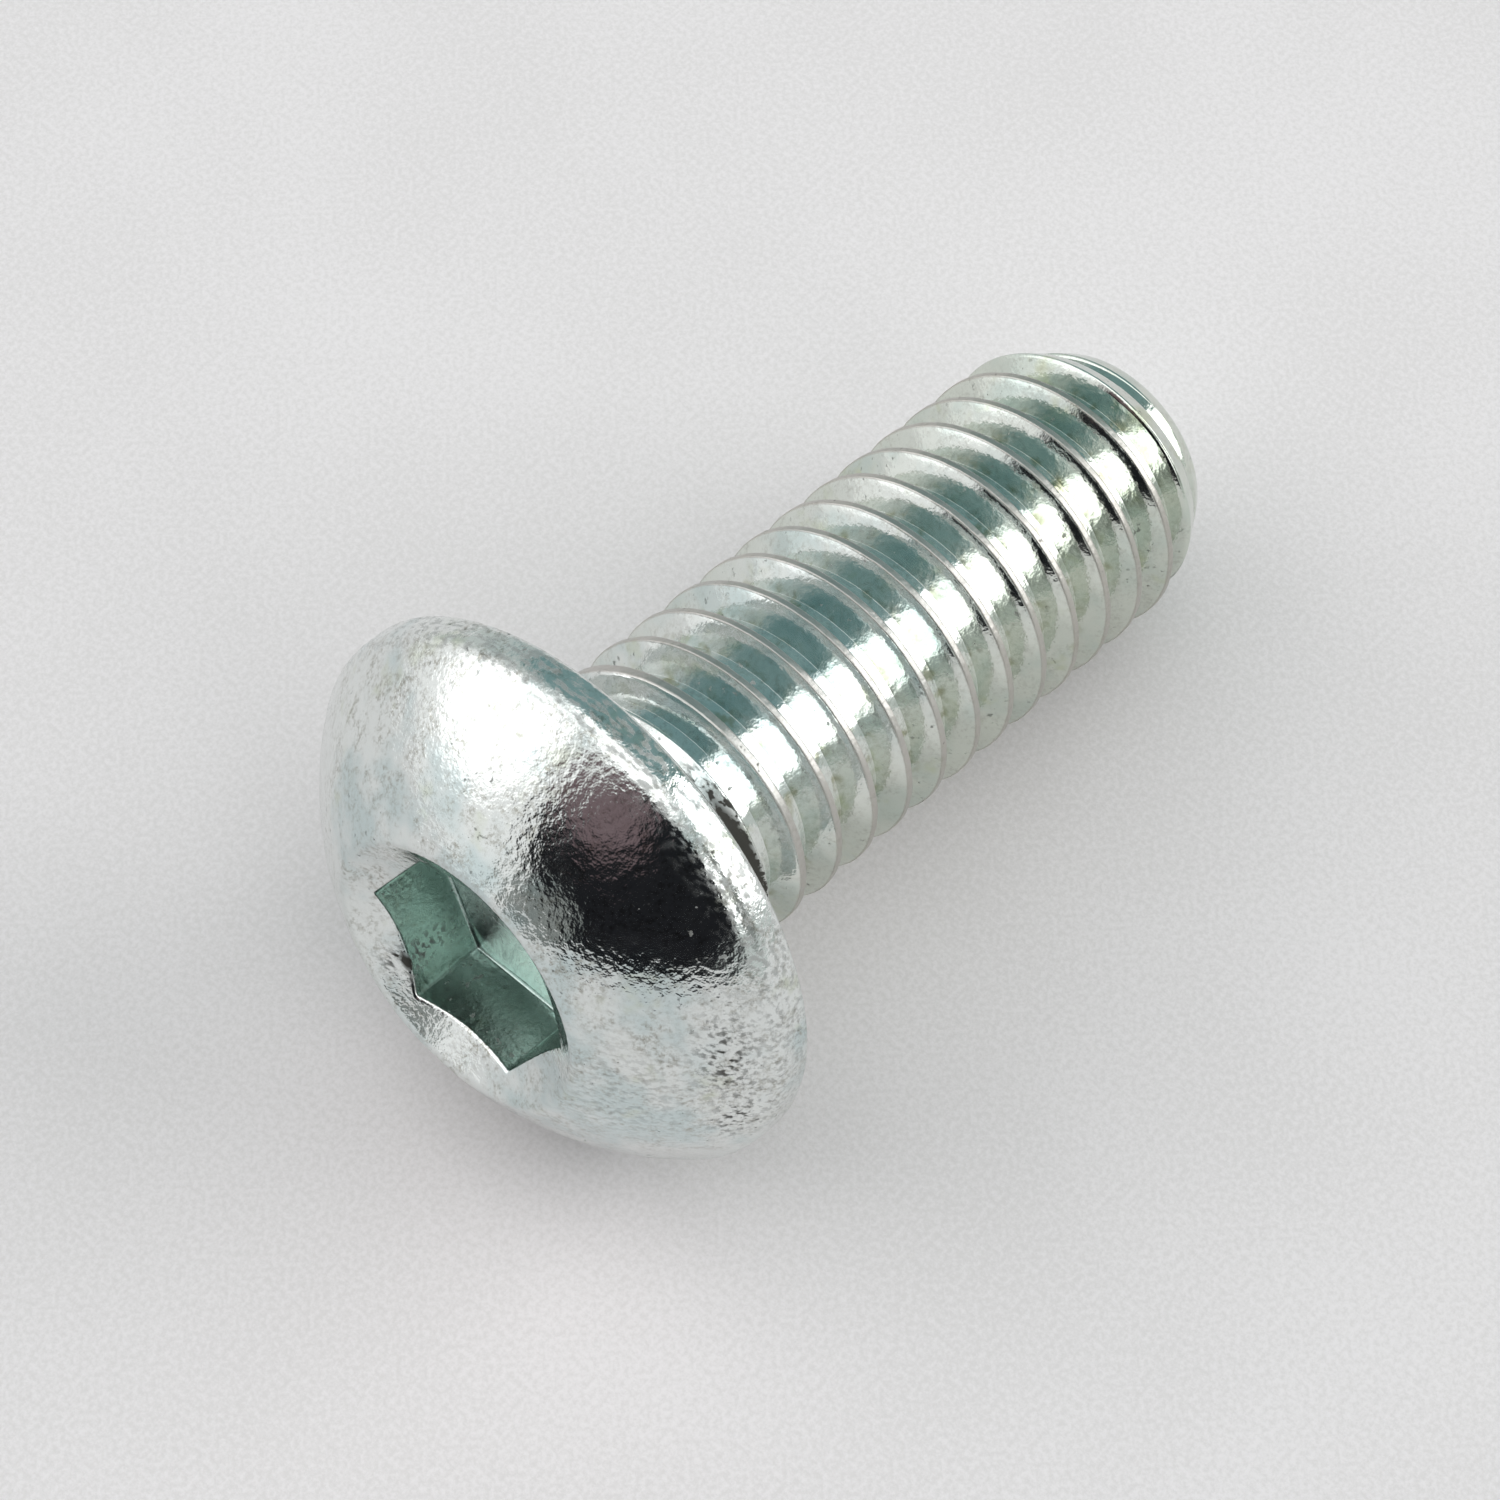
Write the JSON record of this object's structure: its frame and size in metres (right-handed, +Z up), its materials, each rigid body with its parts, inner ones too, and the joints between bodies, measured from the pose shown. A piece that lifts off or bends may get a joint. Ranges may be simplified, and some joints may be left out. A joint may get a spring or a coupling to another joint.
{
  "type": "button head socket screw",
  "caption": "Short machine screw with a low domed button head, a hexagon socket and a full-length rolled thread, in bright zinc-plated steel.",
  "frame": {"origin": "on the surface that the screw lies on, under the middle of its outline", "axes": "+X from the head to the tip along the floor, +Z up; the screw's own axis lies in the XZ plane and drops towards the tip"},
  "size_m": [0.0156, 0.009, 0.0089],
  "materials": {
    "zinc_plated_steel": "bright zinc plating with a faint blue-green passivation"
  },
  "bodies": {
    "root": {"button_head_screw": "zinc_plated_steel"}
  },
  "joints": []
}
